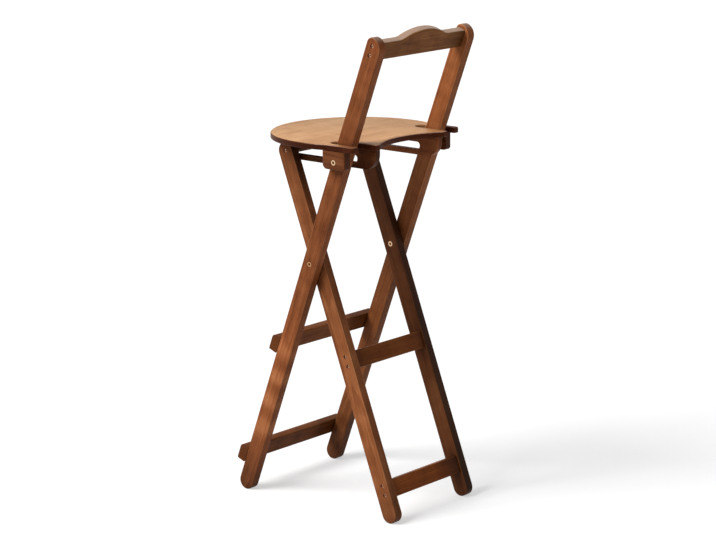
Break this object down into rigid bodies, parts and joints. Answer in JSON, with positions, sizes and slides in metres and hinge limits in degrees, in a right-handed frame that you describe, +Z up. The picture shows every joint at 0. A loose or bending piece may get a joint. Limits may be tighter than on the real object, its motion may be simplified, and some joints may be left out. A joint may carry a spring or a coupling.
{
  "type": "folding bar stool",
  "caption": "Tall wooden folding stool: two crossed leg frames, a round-fronted seat board with notches for the backrest stiles, and a humped crest rail.",
  "frame": {"origin": "on the floor, straight below the crossing of the two leg frames", "axes": "+Z up, +Y towards the backrest, +X to the sitter's left"},
  "size_m": [0.339, 0.3998, 0.952],
  "materials": {
    "frame_wood": "walnut stained, satin lacquer",
    "seat_wood": "stained, satin lacquer",
    "pivot_brass": "plated, satin",
    "screw_steel": "dull plated"
  },
  "bodies": {
    "long_frame": {"long_leg_left": "frame_wood", "long_leg_right": "frame_wood", "crest_rail": "frame_wood", "crest_rail_screws": "screw_steel", "foot_rail": "frame_wood", "lower_front_rail": "frame_wood", "front_rail_screws": "screw_steel", "cross_pivot_bolts": "pivot_brass", "cross_pivot_nuts": "pivot_brass", "cross_pivot_washers": "pivot_brass", "seat_pivot_bolts": "pivot_brass", "seat_pivot_nuts": "pivot_brass", "seat_pivot_washers": "pivot_brass"},
    "short_frame": {"short_leg_left": "frame_wood", "short_leg_right": "frame_wood", "rear_mid_rail": "frame_wood", "rear_low_rail": "frame_wood", "rear_rail_screws": "screw_steel", "slide_rod": "frame_wood", "slide_rod_screws": "screw_steel"},
    "seat": {"seat_board": "seat_wood", "pivot_block_left": "frame_wood", "pivot_block_right": "frame_wood", "slide_rail_left": "frame_wood", "slide_rail_right": "frame_wood", "pivot_block_screws": "screw_steel", "slide_rail_screws": "screw_steel"}
  },
  "joints": [
    {"name": "leg_fold", "type": "hinge", "parent": "long_frame", "child": "short_frame", "pos_m": [0, 0, 0.49192], "axis": [-1, 0, 0], "range_deg": [0, 41.5]},
    {"name": "seat_tilt", "type": "hinge", "parent": "long_frame", "child": "seat", "pos_m": [0, 0.0799, 0.70226], "axis": [-1, 0, 0], "range_deg": [0, 20.75]}
  ],
  "couplings": [
    {"joint": "seat_tilt", "follows": "leg_fold", "ratio": 0.5}
  ]
}
